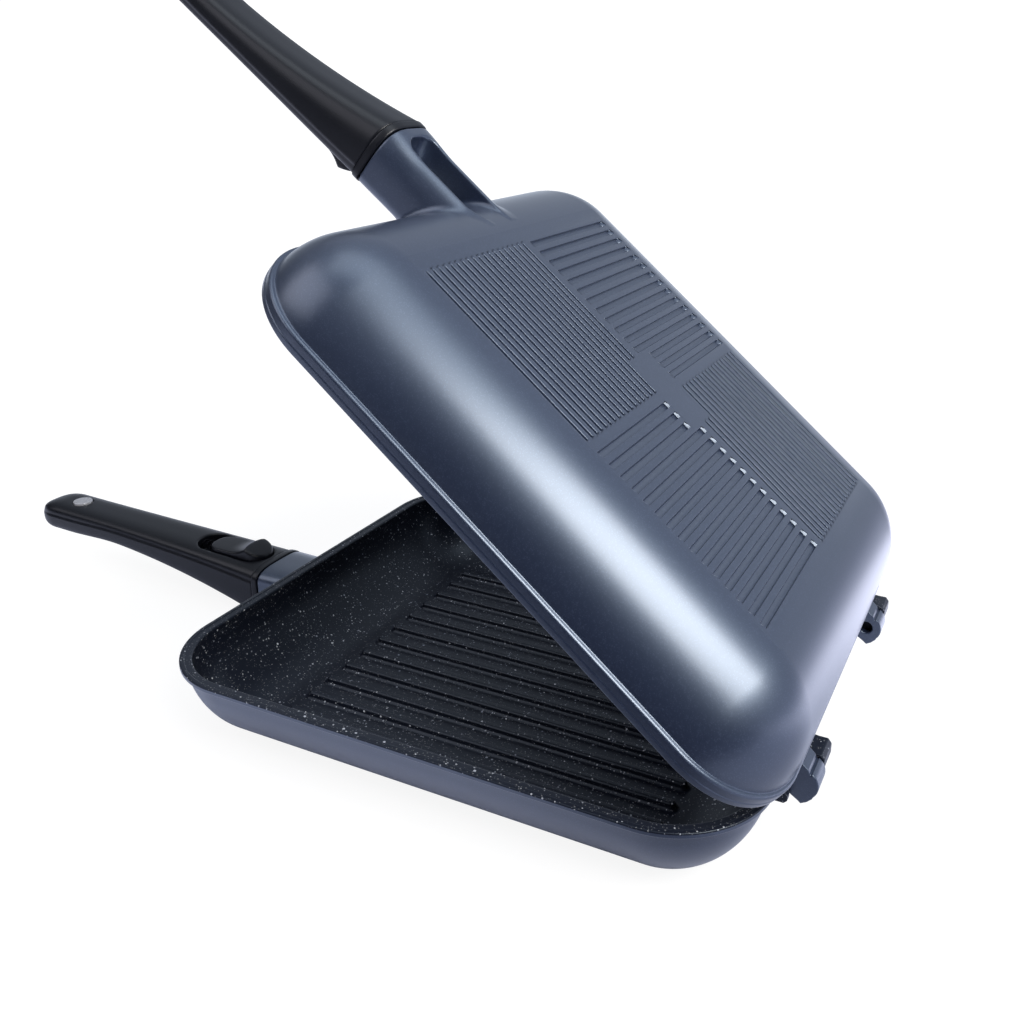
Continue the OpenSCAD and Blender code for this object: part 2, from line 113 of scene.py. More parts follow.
def new_tree(name, kind, inputs, outputs):
    """A tree of nodes with inputs (label, kind, perhaps a starting value) and outputs (label, kind)."""
    tree = bpy.data.node_groups.new(name, kind)
    ids = {}
    for label, socket_kind, *value in inputs:
        socket = tree.interface.new_socket(name=label, in_out="INPUT", socket_type="NodeSocket" + socket_kind)
        ids[label] = socket.identifier
        if value:
            socket.default_value = value[0]
    for label, socket_kind in outputs:
        tree.interface.new_socket(name=label, in_out="OUTPUT", socket_type="NodeSocket" + socket_kind)
    given, result = tree.nodes.new("NodeGroupInput"), tree.nodes.new("NodeGroupOutput")
    return tree, ids, given.outputs, result.inputs


def node(tree, kind, group=None, **values):
    made = tree.nodes.new(kind)
    if group:
        made.node_tree = group
    for key, value in values.items():
        made.inputs[key.replace("_", " ")].default_value = value
    return made


def math_node(tree, operation, a, b=None, c=None):
    made = tree.nodes.new("ShaderNodeMath")
    made.operation = operation
    for i, value in enumerate((a, b, c)):
        if value is None:
            continue
        if isinstance(value, (int, float)):
            made.inputs[i].default_value = value
        else:
            tree.links.new(value, made.inputs[i])
    return made.outputs[0]


def times(tree, a, b, more=0.0):
    return math_node(tree, "MULTIPLY_ADD", a, b, more)


def larger(tree, a, b):
    return math_node(tree, "MAXIMUM", a, b)


def ramp(tree, value, low, high):
    """A smooth rise from 0 at low to 1 at high."""
    made = node(tree, "ShaderNodeMapRange", From_Min=low, From_Max=high)
    made.interpolation_type = "SMOOTHSTEP"
    tree.links.new(value, made.inputs["Value"])
    return made.outputs["Result"]


def mix_colour(tree, share, a, b):
    made = tree.nodes.new("ShaderNodeMix")
    made.data_type = "RGBA"
    for index, value in ((0, share), (6, a), (7, b)):
        if isinstance(value, (int, float, tuple)):
            made.inputs[index].default_value = value
        else:
            tree.links.new(value, made.inputs[index])
    return made.outputs[2]


def build_grain():
    """Fine moulded or sprayed grain: a height, and a slow drift for roughness and colour."""
    tree, _, given, result = new_tree(
        "Surface grain", "ShaderNodeTree",
        [("Vector", "Vector"), ("Fine scale", "Float", 1500.0), ("Slow scale", "Float", 25.0),
         ("Roughness", "Float", 0.4), ("Drift", "Float", 0.05)],
        [("Height", "Float"), ("Roughness", "Float"), ("Slow", "Float")])
    link = tree.links.new
    fine = node(tree, "ShaderNodeTexNoise", Detail=2.0, Roughness=0.6)
    slow = node(tree, "ShaderNodeTexNoise", Detail=3.0, Roughness=0.55)
    for noise, scale in ((fine, "Fine scale"), (slow, "Slow scale")):
        link(given["Vector"], noise.inputs["Vector"])
        link(given[scale], noise.inputs["Scale"])
    drift = times(tree, math_node(tree, "SUBTRACT", slow.outputs[0], 0.5), given["Drift"])
    link(fine.outputs[0], result["Height"])
    link(times(tree, drift, 2.0, given["Roughness"]), result["Roughness"])
    link(slow.outputs[0], result["Slow"])
    return tree


def build_speckle():
    """Sprayed specks: scattered round dots, some of them white and the rest grey."""
    tree, _, given, result = new_tree(
        "Coating specks", "ShaderNodeTree",
        [("Vector", "Vector"), ("Scale", "Float", 300.0), ("Size", "Float", 0.2),
         ("Share", "Float", 0.3)],
        [("Mask", "Float"), ("Tone", "Float")])
    link = tree.links.new
    dots = node(tree, "ShaderNodeTexVoronoi", Randomness=1.0)
    link(given["Vector"], dots.inputs["Vector"])
    link(given["Scale"], dots.inputs["Scale"])
    split = tree.nodes.new("ShaderNodeSeparateColor")
    link(dots.outputs["Color"], split.inputs[0])
    chance, growth, tone = split.outputs
    size = times(tree, given["Size"], math_node(tree, "ADD", growth, 0.35))
    edge = math_node(tree, "DIVIDE", dots.outputs["Distance"], size)
    inside = math_node(tree, "SUBTRACT", 1.0, ramp(tree, edge, 0.75, 1.15))
    chosen = math_node(tree, "LESS_THAN", chance, given["Share"])
    link(times(tree, inside, chosen), result["Mask"])
    link(tone, result["Tone"])
    return tree


GRAIN = build_grain()
SPECKS = build_speckle()


def start_material(name, colour, metallic, roughness, **sockets):
    made = bpy.data.materials.new(name)
    made.use_nodes = True
    tree = made.node_tree
    shader = tree.nodes["Principled BSDF"]
    shader.inputs["Base Color"].default_value = (*colour, 1.0)
    shader.inputs["Metallic"].default_value = metallic
    shader.inputs["Roughness"].default_value = roughness
    for key, value in sockets.items():
        shader.inputs[key.replace("_", " ")].default_value = value
    coords = tree.nodes.new("ShaderNodeTexCoord")
    return made, tree, shader, coords.outputs["Object"]


def add_grain(tree, shader, where, roughness, fine, slow, drift, strength, distance):
    """Grain in a shader's roughness and normal: scales, drift of the roughness, bump strength and height."""
    grain = node(tree, "ShaderNodeGroup", GRAIN, Fine_scale=fine, Slow_scale=slow, Roughness=roughness,
                 Drift=drift)
    bump = node(tree, "ShaderNodeBump", Strength=strength, Distance=distance)
    tree.links.new(where, grain.inputs["Vector"])
    tree.links.new(grain.outputs["Height"], bump.inputs["Height"])
    tree.links.new(bump.outputs["Normal"], shader.inputs["Normal"])
    tree.links.new(grain.outputs["Roughness"], shader.inputs["Roughness"])
    return grain


def add_specks(tree, where, scale, size, share):
    made = node(tree, "ShaderNodeGroup", SPECKS, Scale=scale, Size=size, Share=share)
    tree.links.new(where, made.inputs["Vector"])
    return made


def paint_material():
    """Satin lacquer over blue-grey paint: the lacquer's shine is nearly white, the shade stays blue."""
    dark, light, flake = (0.0085, 0.0135, 0.034, 1.0), (0.011, 0.017, 0.041, 1.0), (0.07, 0.09, 0.15, 1.0)
    made, tree, shader, where = start_material(
        "blue_grey_satin_paint", dark[:3], 0.0, 0.41, Specular_IOR_Level=1.0, IOR=1.62,
        Specular_Tint=(0.62, 0.78, 1.0, 1.0), Coat_Weight=1.0, Coat_Roughness=0.29, Coat_IOR=1.5)
    grain = add_grain(tree, shader, where, 0.41, 1500.0, 18.0, 0.03, 0.07, 0.00008)
    flakes = add_specks(tree, where, 2600.0, 0.5, 0.35)
    colour = mix_colour(tree, grain.outputs["Slow"], dark, light)
    glint = times(tree, flakes.outputs["Mask"], 0.35)
    tree.links.new(mix_colour(tree, glint, colour, flake), shader.inputs["Base Color"])
    return made


# Specks from the finest to the largest: scale, size, share of the places that have one, brightness
SPECK_SIZES = [(1200.0, 0.27, 0.60, 0.20), (680.0, 0.21, 0.46, 0.70), (330.0, 0.14, 0.28, 1.0)]


def coating_material():
    base = (0.0066, 0.0086, 0.0165)
    made, tree, shader, where = start_material(
        "speckled_non_stick_coating", base, 0.0, 0.36, Specular_IOR_Level=0.42,
        Specular_Tint=(0.80, 0.90, 1.0, 1.0))
    add_grain(tree, shader, where, 0.36, 900.0, 30.0, 0.04, 0.14, 0.00012)
    colour = (*base, 1.0)
    for scale, size, share, tone in SPECK_SIZES:
        specks = add_specks(tree, where, scale, size, share)
        bright = (tone * 0.95, tone * 0.97, tone, 1.0)
        dull = (tone * 0.30, tone * 0.33, tone * 0.4, 1.0)
        speck = mix_colour(tree, specks.outputs["Tone"], dull, bright)
        colour = mix_colour(tree, specks.outputs["Mask"], colour, speck)
    tree.links.new(colour, shader.inputs["Base Color"])
    return made


def phenolic_material():
    made, tree, shader, where = start_material(
        "satin_black_heat_proof_plastic", (0.0058, 0.0068, 0.0104), 0.0, 0.36, Specular_IOR_Level=0.42)
    grain = add_grain(tree, shader, where, 0.36, 1900.0, 22.0, 0.05, 0.10, 0.0001)
    dark, light = (0.0052, 0.0060, 0.0094, 1.0), (0.0066, 0.0075, 0.0114, 1.0)
    tree.links.new(mix_colour(tree, grain.outputs["Slow"], dark, light), shader.inputs["Base Color"])
    return made


def metal_material(name, colour, metallic, roughness, *grain):
    made, tree, shader, where = start_material(name, colour, metallic, roughness)
    add_grain(tree, shader, where, roughness, *grain)
    return made


PAINT = paint_material()
COATING = coating_material()
PHENOLIC = phenolic_material()
STEEL_GRAIN = (700.0, 60.0, 0.10, 0.10, 0.0001)
STEEL = metal_material("brushed_steel", (0.56, 0.57, 0.59), 1.0, 0.3, *STEEL_GRAIN)
# Painted shade: a near-black steel for the button springs and the hinge pins, dark so that the recess and the
# bores they sit in look shaded and empty
STEEL_DARKENED_AS_SHADE = metal_material("steel_darkened_as_painted_shade", (0.016, 0.016, 0.019), 1.0, 0.5, *STEEL_GRAIN)
MAGNET = metal_material("plated_magnet", (0.50, 0.50, 0.52), 0.35, 0.45, 1200.0, 200.0, 0.04, 0.04, 0.00004)

# ---------------------------------------------------------------- mesh helpers

SHARP_EDGE = math.radians(50.0)


def plain_mesh(points, faces):
    """A mesh in metres from points in millimetres."""
    mesh = bpy.data.meshes.new("base")
    mesh.from_pydata((np.asarray(points) * MM).tolist(), [], faces)
    return mesh


def make_piece(name, points, faces, material, body, place, stands_for=()):
    keep_piece(name, plain_mesh(points, faces), material, body, place, stands_for)


def keep_piece(name, mesh, material, body, place, stands_for=()):
    """A visible piece: its place, its material, the body it rides, and the nodes that it stands for."""
    mesh.transform(place)
    mesh.validate()
    mesh.materials.clear()
    mesh.materials.append(material)
    mesh.shade_smooth()
    mesh.set_sharp_from_angle(angle=SHARP_EDGE)
    mesh.name = name
    made = put_in_scene(name, mesh)
    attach(made, body)
    if stands_for:
        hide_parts(*stands_for)


class Build:
    """Points and faces of one mesh, collected part by part."""

    def __init__(self):
        self.points, self.faces, self.count = [], [], 0

    def add(self, points, faces):
        self.points.append(np.asarray(points, float))
        self.faces += [[i + self.count for i in face] for face in faces]
        self.count += len(points)

    def all_points(self):
        return np.concatenate(self.points)


def band(rows, ring, flip=False):
    """Quads of a closed tube of rows of ring points each."""
    faces = []
    for i in range(rows - 1):
        for k in range(ring):
            a, b, n = i * ring, (i + 1) * ring, (k + 1) % ring
            quad = [a + k, a + n, b + n, b + k]
            faces.append(quad[::-1] if flip else quad)
    return faces


def fan(first, ring, tip):
    """Triangles from a ring of points to its tip."""
    return [[first + k, first + (k + 1) % ring, tip] for k in range(ring)]


def zip_loops(inner, outer):
    """Triangles between two loops that both run round the origin."""
    full = 2 * math.pi
    a, b = (np.unwrap(np.arctan2(loop[:, 1], loop[:, 0])) for loop in (inner, outer))
    b = b - round((b[0] - a[0]) / full) * full
    start = int(np.argmin(np.abs(b - a[0])))
    order = list(range(start, len(b))) + list(range(start))
    b = np.array([b[i] + (full if i < start else 0) for i in order])
    na, nb = len(a), len(b)
    i = j = 0
    faces = []
    while i < na or j < nb:
        next_a = a[i + 1] if i + 1 < na else a[0] + full
        next_b = b[j + 1] if j + 1 < nb else b[0] + full
        here, there = i % na, na + order[j % nb]
        if j >= nb or (i < na and next_a <= next_b):
            faces.append([here, there, (i + 1) % na])
            i += 1
        else:
            faces.append([here, there, na + order[(j + 1) % nb]])
            j += 1
    return faces


def rounded_path(corners, steps=8):
    """A path of (u, z) corners, each with the radius that rounds it."""
    path = []
    for i, (u, z, r) in enumerate(corners):
        p = np.array([u, z], float)
        if r == 0 or i in (0, len(corners) - 1):
            path.append(p)
            continue
        sides = [np.array(corners[n][:2], float) - p for n in (i - 1, i + 1)]
        to_last, to_next = (side / np.linalg.norm(side) for side in sides)
        half = math.acos(np.clip(np.dot(to_last, to_next), -1, 1)) / 2
        reach = r / math.tan(half)
        middle = (to_last + to_next) / np.linalg.norm(to_last + to_next)
        centre = p + middle * r / math.sin(half)
        a = p + to_last * reach - centre
        b = p + to_next * reach - centre
        turn = math.pi - 2 * half
        n = max(steps, int(abs(turn) * r / 1.2))
        for k in range(n + 1):
            t = k / n
            q = (a * math.sin((1 - t) * turn) + b * math.sin(t * turn)) / math.sin(turn)
            path.append(centre + q)
    return np.array(path)


def rim_ring(corner_steps=28, side_steps=10):
    """Feet and outward directions of the points round a rounded rectangle."""
    rows = []
    corners = [(CORE_X, CORE_Y, 0), (-CORE_X, CORE_Y, 90), (-CORE_X, -CORE_Y, 180),
               (CORE_X, -CORE_Y, 270)]
    for i, (x, y, a0) in enumerate(corners):
        for k in range(corner_steps + 1):
            a = math.radians(a0 + 90 * k / corner_steps)
            rows.append((x, y, math.cos(a), math.sin(a)))
        next_x, next_y, _ = corners[(i + 1) % 4]
        for k in range(1, side_steps):
            t = k / side_steps
            rows.append((x + (next_x - x) * t, y + (next_y - y) * t, math.cos(a), math.sin(a)))
    rows = np.array(rows)
    return rows[:, :2], rows[:, 2:]


FEET, OUT = rim_ring()
RING = len(FEET)


def swept(path):
    """Rows of points, one row round the rim for each point of a path."""
    return np.concatenate([np.column_stack([FEET + OUT * u, np.full(RING, z)]) for u, z in path])


# ---------------------------------------------------------------- shapes given by a distance


def blend_union(a, b, k):
    """Both, with a fillet of about k where they meet."""
    h = np.maximum(k - np.abs(a - b), 0) / k
    return np.minimum(a, b) - h * h * k / 4


def blend_cut(a, b, k):
    """a with b taken away, and the edge between them rounded."""
    return -blend_union(-a, b, k)


def blend_common(a, b, k):
    return -blend_union(-a, -b, k)


def quadrant(a, b):
    """The distance to where both a and b are less than 0."""
    return np.hypot(np.maximum(a, 0), np.maximum(b, 0)) + np.minimum(np.maximum(a, b), 0)


def rounded_rect(x, y, hx, hy, r):
    return quadrant(np.abs(x) - hx + r, np.abs(y) - hy + r) - r


def polygon(x, y, corners):
    """The distance to a polygon's edge, less than 0 inside it."""
    nearest = np.full(x.shape, 1e9)
    sign = np.ones(x.shape)
    last = corners[-1]
    for corner in corners:
        ex, ey = last[0] - corner[0], last[1] - corner[1]
        wx, wy = x - corner[0], y - corner[1]
        t = np.clip((wx * ex + wy * ey) / (ex * ex + ey * ey), 0, 1)
        nearest = np.minimum(nearest, (wx - ex * t) ** 2 + (wy - ey * t) ** 2)
        above, below, left = y >= corner[1], y < last[1], ex * wy > ey * wx
        turned = (above & below & left) | ~(above | below | left)
        sign = np.where(turned, -sign, sign)
        last = corner
    return sign * np.sqrt(nearest)


def slab(flat, across, half, r):
    """A flat shape drawn out to a plate of half its thickness, with edges rounded by r."""
    return quadrant(flat + r, np.abs(across) - half + r) - r


def cell_corner(axis, end, p, q):
    corner = [p, q]
    corner.insert(axis, end)
    return tuple(corner)


EDGES = [(cell_corner(axis, 0, p, q), cell_corner(axis, 1, p, q))
         for axis in range(3) for q in (0, 1) for p in (0, 1)]
# Steps that draw points onto the surface, and how far a piece's points stand out of the shell it joins
SETTLING_STEPS, PROUD = 5, 0.004


def skin(shape, low, high, cell, keep=None):
    """The surface where a distance is zero, as quads, with its points drawn exactly onto it."""
    low, high = np.array(low, float), np.array(high, float)
    sizes = np.ceil((high - low) / cell).astype(int) + 1
    axes = [low[i] + cell * np.arange(sizes[i]) for i in range(3)]
    grid = np.meshgrid(*axes, indexing="ij")
    value = shape(*grid)
    inside = value < 0

    def corner(array, o):
        return array[tuple(slice(o[i], sizes[i] - 1 + o[i]) for i in range(3))]

    count = sum(corner(inside, (i, j, k)).astype(int) for i in (0, 1) for j in (0, 1) for k in (0, 1))
    active = (count > 0) & (count < 8)
    cells = np.argwhere(active)
    index = np.full(active.shape, -1)
    index[active] = np.arange(len(cells))
    total, hits = np.zeros((len(cells), 3)), np.zeros(len(cells))
    for a, b in EDGES:
        va, vb = corner(value, a)[active], corner(value, b)[active]
        cross = (va < 0) != (vb < 0)
        t = np.where(cross, va / np.where(cross, va - vb, 1), 0)
        total += np.where(cross[:, None], np.array(a) + t[:, None] * (np.array(b) - np.array(a)), 0)
        hits += cross
    points = low + cell * (cells + total / hits[:, None])
    quads = []
    for axis in range(3):
        p, q = [(1, 2), (2, 0), (0, 1)][axis]
        step = [0, 0, 0]
        step[axis] = 1
        here = [slice(0, sizes[i] - 1) if i == axis else slice(1, sizes[i] - 1) for i in range(3)]
        there = [slice(s.start + step[i], s.stop + step[i]) for i, s in enumerate(here)]
        cross = np.argwhere(inside[tuple(here)] != inside[tuple(there)])
        at = cross + [0 if i == axis else 1 for i in range(3)]
        starts_inside = inside[at[:, 0], at[:, 1], at[:, 2]]
        around = []
        for dp, dq in ((-1, -1), (0, -1), (0, 0), (-1, 0)):
            c = at.copy()
            c[:, p] += dp
            c[:, q] += dq
            around.append(index[c[:, 0], c[:, 1], c[:, 2]])
        quad = np.stack(around, 1)
        quad[~starts_inside] = quad[~starts_inside][:, ::-1]
        quads.append(quad)
    quads = np.concatenate(quads)
    quads = quads[(quads >= 0).all(1)]
    e = cell * 0.1
    for _ in range(SETTLING_STEPS):
        f = shape(*points.T)
        g = np.stack([(shape(*(points + d).T) - shape(*(points - d).T)) / (2 * e)
                      for d in np.eye(3) * e], 1)
        move = f[:, None] * g / np.maximum((g * g).sum(1), 0.05)[:, None]
        length = np.linalg.norm(move, axis=1)
        points -= move * np.minimum(1, 0.4 * cell / np.maximum(length, 1e-9))[:, None]
    if keep is not None:
        shown = keep(*points.T) > PROUD
        quads = quads[shown[quads].any(1)]
    used = np.unique(quads)
    renumber = np.full(len(points), -1)
    renumber[used] = np.arange(len(used))
    return points[used], renumber[quads].tolist()


# ---------------------------------------------------------------- the castings

# Outside field of grooves: two quarters of fine ones along x, two of broad slots along y
FIELD_X, FIELD_Y, GAP = 86.0, 76.8, 1.5
FINE_ROWS, SLOT_ROWS = 19, 15
PANEL_FINE, PANEL_SLOT = 2, 3
FINE_PITCH = (FIELD_Y - GAP) / FINE_ROWS
SLOT_PITCH = (FIELD_X - GAP) / SLOT_ROWS
PANEL_X = GAP + PANEL_SLOT * SLOT_PITCH
PANEL_Y = GAP + PANEL_FINE * FINE_PITCH
FLOOR_EDGE = 2.0

# Sections of a groove and a rib: (distance from the middle line, height)
FINE_PROFILE = [(0.44, -1.00), (0.56, -0.98), (0.63, -0.90), (0.66, -0.65), (0.69, -0.27),
                (0.72, -0.17), (0.78, -0.11), (1.12, -0.012), (1.22, 0.0)]
SLOT_PROFILE = [(1.06, -1.40), (1.20, -1.38), (1.29, -1.26), (1.37, -0.82), (1.46, -0.28),
                (1.52, -0.09), (1.60, -0.012), (1.69, 0.0)]
SLOT_SKEW = 0.17
RIB_PROFILE = [(0.2, 2.86), (0.85, 2.88), (1.02, 2.84), (1.58, 2.42), (1.74, 2.20), (1.86, 1.85),
               (1.98, 1.30), (2.10, 0.96), (2.25, 0.76), (2.98, 0.22), (3.18, 0.10), (3.5, 0.02),
               (3.9, -0.03)]
# How a groove ends: a slope that runs out at one end, a square wall with a small ramp at the other
RUN_OUT, SQUARENESS, RAMP_FROM, RAMP_SLOPE = 2.2, 1.9, 0.8, 0.9


def stadium_rings(half_run, profile, steps=6, groove=False, skew=0.0):
    """Rings round a run along x, one for each (offset, height) of the profile.

    A groove's far end runs out in a slope, and its near end is square.
    """
    rows = []
    arc = [math.radians(-90 + 180 * k / steps) for k in range(steps + 1)]
    for offset, height in profile:
        end = offset + (RUN_OUT * height if groove else 0.0)
        right = [(half_run + end * math.cos(a), offset * math.sin(a), height) for a in arc]
        left = [(-half_run - offset * math.cos(a), -offset * math.sin(a), height) for a in arc]
        if groove:
            across = [min(1.0, max(-1.0, SQUARENESS * math.sin(a))) * offset for a in arc]
            along = [min(1.0, SQUARENESS * math.cos(a)) * max(0.0, height + RAMP_FROM) * RAMP_SLOPE
                     for a in arc]
            left = [(-half_run - max(0.0, x), -y, height) for x, y in zip(along, across)]
        rows += [(x, y - skew * z, z) for x, y, z in right + left]
    return np.array(rows), 2 * (steps + 1)


def groove_cell(length, width, profile, run_end, skew):
    """One groove in its own rectangle of the flat outside, centred, along x, facing down."""
    points, ring = stadium_rings(length / 2 - run_end, profile, groove=True, skew=skew)
    made = Build()
    made.add(points, band(len(profile), ring) + [list(range(ring))[::-1]])
    x, y = length / 2, width / 2
    edge = np.array([(x, -y, 0), (x, y, 0), (-x, y, 0), (-x, -y, 0)], float)
    first = len(points) - ring
    made.add(edge, [])
    made.faces += [[i + first for i in face] for face in zip_loops(points[first:], edge)]
    return made


def new_nodes(tree, *kinds):
    return [tree.nodes.new("GeometryNode" + kind) for kind in kinds]


def row_tree():
    """Geometry nodes: copies of a mesh along a line, and, if asked, the same turned half round z."""
    tree, ids, given, result = new_tree(
        "Row of copies", "GeometryNodeTree",
        [("Geometry", "Geometry"), ("Count", "Int"), ("First", "Vector"),
         ("Step", "Vector"), ("Opposite row", "Bool"), ("Material", "Material")],
        [("Geometry", "Geometry")])
    line, put, real, switch, join, colour = new_nodes(
        tree, "MeshLine", "InstanceOnPoints", "RealizeInstances", "Switch", "JoinGeometry", "SetMaterial")
    switch.input_type = "GEOMETRY"
    turn = node(tree, "GeometryNodeTransform", Rotation=(0, 0, math.pi))
    weld = node(tree, "GeometryNodeMergeByDistance", Distance=0.000002)
    for start, end in (
            (given["Count"], line.inputs["Count"]), (given["First"], line.inputs["Start Location"]),
            (given["Step"], line.inputs["Offset"]), (line.outputs[0], put.inputs["Points"]),
            (given["Geometry"], put.inputs["Instance"]), (put.outputs[0], real.inputs[0]),
            (real.outputs[0], turn.inputs["Geometry"]), (given["Opposite row"], switch.inputs["Switch"]),
            (turn.outputs[0], switch.inputs["True"]), (real.outputs[0], join.inputs[0]),
            (switch.outputs[0], join.inputs[0]), (join.outputs[0], weld.inputs["Geometry"]),
            (weld.outputs[0], colour.inputs["Geometry"]), (given["Material"], colour.inputs["Material"]),
            (colour.outputs[0], result[0])):
        tree.links.new(start, end)
    return tree, ids


def spring_tree():
    """Geometry nodes: a wire coiled along x."""
    tree, ids, given, result = new_tree(
        "Coil spring", "GeometryNodeTree",
        [("Geometry", "Geometry"), ("Turns", "Float"), ("Radius", "Float"),
         ("Length", "Float"), ("Wire", "Float"), ("Place", "Vector"),
         ("Material", "Material")],
        [("Geometry", "Geometry")])
    coil = node(tree, "GeometryNodeCurveSpiral", Resolution=24)
    wire = node(tree, "GeometryNodeCurvePrimitiveCircle", Resolution=8)
    tube = node(tree, "GeometryNodeCurveToMesh", Fill_Caps=True)
    turn = node(tree, "GeometryNodeTransform", Rotation=(0, math.pi / 2, 0))
    real, colour = new_nodes(tree, "RealizeInstances", "SetMaterial")
    for start, end in (
            (given["Turns"], coil.inputs["Rotations"]), (given["Radius"], coil.inputs["Start Radius"]),
            (given["Radius"], coil.inputs["End Radius"]), (given["Length"], coil.inputs["Height"]),
            (given["Wire"], wire.inputs["Radius"]), (coil.outputs[0], tube.inputs["Curve"]),
            (wire.outputs[0], tube.inputs["Profile Curve"]), (tube.outputs[0], turn.inputs["Geometry"]),
            (given["Place"], turn.inputs["Translation"]), (turn.outputs[0], real.inputs[0]),
            (real.outputs[0], colour.inputs["Geometry"]), (given["Material"], colour.inputs["Material"]),
            (colour.outputs[0], result[0])):
        tree.links.new(start, end)
    return tree, ids


ROW = row_tree()
SPRING = spring_tree()


def grown(nodes, base, **values):
    """The plain mesh that a tree of geometry nodes makes of a base mesh."""
    tree, ids = nodes
    carrier = put_in_scene("carrier", base)
    modifier = carrier.modifiers.new("nodes", "NODES")
    modifier.node_group = tree
    for key, value in values.items():
        modifier[ids[key.replace("_", " ")]] = value
    carrier.update_tag()
    bpy.context.view_layer.update()
    ready = carrier.evaluated_get(bpy.context.evaluated_depsgraph_get())
    mesh = bpy.data.meshes.new_from_object(ready)
    carrier.modifiers.clear()
    bpy.data.objects.remove(carrier)
    return mesh


def joined(meshes):
    """Points in millimetres and faces of several meshes together."""
    made = Build()
    for mesh in meshes:
        points = np.empty(len(mesh.vertices) * 3)
        mesh.vertices.foreach_get("co", points)
        made.add(points.reshape(-1, 3) / MM, [list(face.vertices) for face in mesh.polygons])
    return made


def groove_rows(lengthwise, first, count, start):
    """A row of grooves: cells of one length, side by side, and the same in the opposite quarter."""
    pitch = FINE_PITCH if lengthwise else SLOT_PITCH
    profile = FINE_PROFILE if lengthwise else SLOT_PROFILE
    length = (FIELD_X if lengthwise else FIELD_Y) - start
    cell = groove_cell(length, pitch, profile, profile[-1][0] + 0.05, 0.0 if lengthwise else SLOT_SKEW)
    points = cell.all_points() * [1, 1, -1]
    points += [start + length / 2, GAP + (first + 0.5) * pitch, 0]
    if lengthwise:
        points[:, 0] *= -1
        step = (0, pitch * MM, 0)
    else:
        points = points[:, [1, 0, 2]]
        step = (pitch * MM, 0, 0)
    return grown(ROW, plain_mesh(points, cell.faces), Count=count, First=(0, 0, 0), Step=step,
                 Opposite_row=True, Material=PAINT)


def outward_down(points, faces):
    """Faces of a flat part of the outside, all turned to face down."""
    turned = []
    for face in faces:
        p = points[face]
        area = sum(a[0] * b[1] - b[0] * a[1] for a, b in zip(p, np.roll(p, -1, 0)))
        turned.append(face[::-1] if area > 0 else face)
    return turned


def flat_outside():
    """The grooved flat of a half: its points at height 0 with the grooves above it, facing down."""
    made = joined([groove_rows(True, 0, PANEL_FINE, PANEL_X),
                   groove_rows(True, PANEL_FINE, FINE_ROWS - PANEL_FINE, GAP),
                   groove_rows(False, 0, PANEL_SLOT, PANEL_Y),
                   groove_rows(False, PANEL_SLOT, SLOT_ROWS - PANEL_SLOT, GAP)])
    # The plain panel in the middle and the strips between the fields
    xs = [-FIELD_X, -PANEL_X, -GAP, GAP, PANEL_X, FIELD_X]
    ys = [-FIELD_Y, -PANEL_Y, -GAP, GAP, PANEL_Y, FIELD_Y]
    for x0, x1 in zip(xs, xs[1:]):
        for y0, y1 in zip(ys, ys[1:]):
            cx, cy = abs(x0 + x1) / 2, abs(y0 + y1) / 2
            if cx < GAP or cy < GAP or (cx < PANEL_X and cy < PANEL_Y):
                made.add([(x0, y0, 0), (x1, y0, 0), (x1, y1, 0), (x0, y1, 0)], [[0, 1, 2, 3]])
    loop = np.column_stack([FEET + OUT * FLOOR_EDGE, np.zeros(RING)])
    edge = np.array([(x * FIELD_X, y * FIELD_Y, 0.0) for x, y in (
        (1, 0), (1, 1), (0, 1), (-1, 1), (-1, 0), (-1, -1), (0, -1), (1, -1))])
    made.add(np.concatenate([edge, loop]), zip_loops(edge, loop))
    made.faces = outward_down(made.all_points(), made.faces)
    return made


# The rims: the lid's lip stands 0.2 proud from LIP_LOW to LIP_TOP; the paint ends under the lower edge
LIP, LIP_LOW, LIP_TOP = 0.2, -3.2, -2.7
PAINT_EDGE, LID_EDGE = 0.7, 1.0
# The lid's rim as a solid: further in by RIM_STEP below RIM_STEP_Z
RIM_STEP, RIM_STEP_Z = 0.5, -2.4
# A fine step round the lower half's coated edge
SEAT_EDGE, SEAT_IN, SEAT_DROP = 1.9, 2.15, 0.3


def outside_path(lid):
    top = -RIM_GAP if lid else 0.0
    wall = CORNER - LEDGE
    if lid:
        rim = [(wall, -LID_RIM, 0.5), (CORNER - LIP, -LID_RIM, 1.25), (CORNER - LIP, LIP_LOW, 0.5),
               (CORNER, LIP_TOP, 0.5), (CORNER, top, 0.7), (CORNER - LID_EDGE, top, 0)]
    else:
        rim = [(wall, -LOWER_RIM, 0.3), (CORNER, -LOWER_RIM, 0.6), (CORNER, top - PAINT_EDGE, 0)]
    _, centre = shoulder(lid)
    first = math.asin((FLOOR_EDGE - centre) / ROUND)
    arc = [(centre + ROUND * math.sin(a), ROUND_Z - ROUND * math.cos(a))
           for a in np.linspace(first, math.pi / 2 - LEAN, 44)]
    return np.concatenate([arc, rounded_path([(*arc[-1], 0)] + rim)[1:]])


def lift(x, y, lid):
    """How far the shoulder has already risen at a place on the flat outside."""
    over = np.maximum(core_distance(x, y) - shoulder(lid)[1], 0)
    return ROUND - np.sqrt(ROUND ** 2 - over ** 2)


def inside_path(lid):
    top = -RIM_GAP if lid else 0.0
    inner = CORNER - LEDGE - WALL
    if lid:
        edge = [(CORNER - LID_EDGE, top, 0), (inner, top, 0.8)]
    else:
        edge = [(CORNER, top - PAINT_EDGE, 0), (CORNER, top, 0.6), (CORNER - SEAT_EDGE, top, 0.25),
                (CORNER - SEAT_IN, top - SEAT_DROP, 0.2), (inner, top - SEAT_DROP, 0.8)]
    return rounded_path(edge + [(inner, FLOOR_Z, SHOULDER - WALL), (FLOOR_EDGE, FLOOR_Z, 0)])


